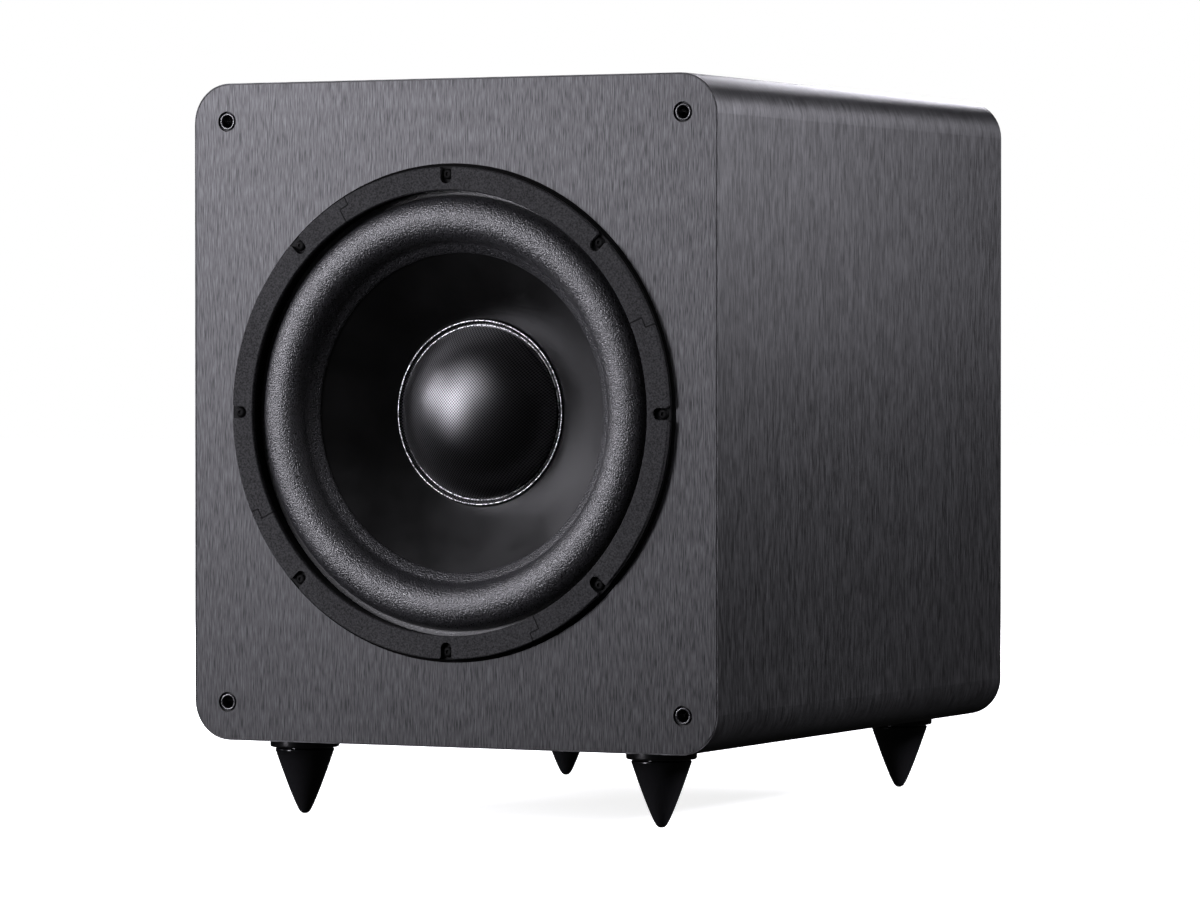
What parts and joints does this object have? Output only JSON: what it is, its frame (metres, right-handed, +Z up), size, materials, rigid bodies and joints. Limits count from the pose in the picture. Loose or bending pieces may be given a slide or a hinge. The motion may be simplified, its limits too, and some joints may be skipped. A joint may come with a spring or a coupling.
{
  "type": "subwoofer",
  "caption": "Sealed powered subwoofer: boxy vinyl-wrapped cabinet on spiked cone feet, a large front driver with a segmented trim ring, and a plate amplifier at the back.",
  "frame": {"origin": "on the floor under the middle of the object's overall box", "axes": "+Z up, +Y to the back, -Y is the front with the driver, +X to the right as seen from the front"},
  "size_m": [0.366, 0.474, 0.463],
  "materials": {
    "mdf": "bare fibreboard",
    "vinyl_wrap": "black foil with a fine brushed grain",
    "vinyl_front": "black foil with a fine upright brushed grain",
    "wadding": "matted polyester fibre",
    "spike_black": "gloss black",
    "foot_black": "satin black",
    "socket_black": "moulded, satin",
    "basket_black": "satin powder coat",
    "foam": "closed-cell foam",
    "trim_rubber": "matte with a fine grain",
    "screw_black": "black oxide",
    "surround_rubber": "satin with a fine speckle",
    "cone_black": "smooth satin black",
    "cap_cloth": "glossy lacquered weave",
    "trim_bright": "polished",
    "spider_cloth": "resin-dipped weave",
    "former": "rolled foil",
    "copper": "enamelled winding wire",
    "magnet_steel": "zinc plated",
    "ferrite": "sintered ferrite",
    "boot_rubber": "soft matte",
    "phenolic": "laminated board with plated tags",
    "tinsel": "braided",
    "lead_red_black": "insulated leads",
    "plate_black": "fine texture powder coat",
    "steel_black": "black zinc",
    "anodised": "black anodised",
    "circuit_board": "green solder mask",
    "post_brass": "turned",
    "can_sleeve": "shrink sleeve",
    "device_black": "moulded epoxy",
    "toroid_tape": "wound polyester tape",
    "control_plastic": "moulded",
    "knob_black": "soft satin",
    "jack_metal": "plated, with a coloured insulator",
    "led_blue": "clear tinted lens",
    "inlet_black": "moulded",
    "pin_steel": "nickel plated",
    "rocker_black": "moulded, gloss"
  },
  "bodies": {
    "cabinet": {"top_panel": "mdf", "bottom_panel": "mdf", "left_panel": "mdf", "right_panel": "mdf", "front_baffle": "mdf", "back_panel": "mdf", "side_wrap": "vinyl_wrap", "front_skin": "vinyl_front", "brace_upright": "mdf", "brace_crosspiece": "mdf", "wadding": "wadding", "foot_sockets": "foot_black", "grille_sockets": "socket_black", "basket": "basket_black", "driver_gasket": "foam", "trim_segment_1": "trim_rubber", "trim_segment_2": "trim_rubber", "trim_segment_3": "trim_rubber", "trim_segment_4": "trim_rubber", "driver_screws": "screw_black", "surround": "surround_rubber", "spider": "spider_cloth", "top_plate": "magnet_steel", "magnet": "ferrite", "pole_yoke": "magnet_steel", "magnet_boot": "boot_rubber", "terminal_strip": "phenolic", "tinsel_leads": "tinsel", "driver_leads": "lead_red_black", "amp_plate": "plate_black", "amp_gasket": "foam", "amp_screws": "steel_black", "heatsink": "anodised", "amp_board": "circuit_board", "board_standoffs": "post_brass", "transformer": "toroid_tape", "capacitors": "can_sleeve", "power_transistors": "device_black", "control_board": "circuit_board", "control_housings": "control_plastic", "line_jacks": "jack_metal", "status_led": "led_blue", "mains_inlet": "inlet_black", "inlet_pins": "pin_steel", "rocker_frame": "inlet_black"},
    "diaphragm": {"cone": "cone_black", "dust_cap": "cap_cloth", "cap_trim_rings": "trim_bright", "coil_former": "former", "coil_winding": "copper"},
    "volume_knob": {"volume_knob": "knob_black"},
    "crossover_knob": {"crossover_knob": "knob_black"},
    "phase_slider": {"phase_slider": "knob_black"},
    "mode_slider": {"mode_slider": "knob_black"},
    "power_rocker": {"power_rocker": "rocker_black"},
    "fuse_drawer": {"fuse_drawer": "inlet_black"},
    "spike_front_left": {"spike_front_left": "spike_black"},
    "spike_front_right": {"spike_front_right": "spike_black"},
    "spike_rear_left": {"spike_rear_left": "spike_black"},
    "spike_rear_right": {"spike_rear_right": "spike_black"}
  },
  "joints": [
    {"name": "cone_travel", "type": "slide", "parent": "cabinet", "child": "diaphragm", "axis": [0, -1, 0], "range_m": [-0.012, 0.012], "stiffness_N_per_m": 3700, "deforming": ["surround", "spider", "tinsel_leads"]},
    {"name": "volume_turn", "type": "hinge", "parent": "cabinet", "child": "volume_knob", "pos_m": [0.062, 0.224, 0.3685], "axis": [0, 1, 0], "range_deg": [-150, 150]},
    {"name": "crossover_turn", "type": "hinge", "parent": "cabinet", "child": "crossover_knob", "pos_m": [0.012, 0.224, 0.3685], "axis": [0, 1, 0], "range_deg": [-150, 150]},
    {"name": "phase_slide", "type": "slide", "parent": "cabinet", "child": "phase_slider", "axis": [1, 0, 0], "range_m": [0, 0.004]},
    {"name": "mode_slide", "type": "slide", "parent": "cabinet", "child": "mode_slider", "axis": [1, 0, 0], "range_m": [0, 0.004]},
    {"name": "power_rock", "type": "hinge", "parent": "cabinet", "child": "power_rocker", "pos_m": [-0.036, 0.224, 0.1515], "axis": [1, 0, 0], "range_deg": [0, 20]},
    {"name": "fuse_drawer_pull", "type": "slide", "parent": "cabinet", "child": "fuse_drawer", "axis": [0, 1, 0], "range_m": [0, 0.018]},
    {"name": "front_left_spike_screw", "type": "slide", "parent": "cabinet", "child": "spike_front_left", "axis": [0, 0, -1], "range_m": [0, 0.008]},
    {"name": "front_right_spike_screw", "type": "slide", "parent": "cabinet", "child": "spike_front_right", "axis": [0, 0, -1], "range_m": [0, 0.008]},
    {"name": "rear_left_spike_screw", "type": "slide", "parent": "cabinet", "child": "spike_rear_left", "axis": [0, 0, -1], "range_m": [0, 0.008]},
    {"name": "rear_right_spike_screw", "type": "slide", "parent": "cabinet", "child": "spike_rear_right", "axis": [0, 0, -1], "range_m": [0, 0.008]}
  ]
}
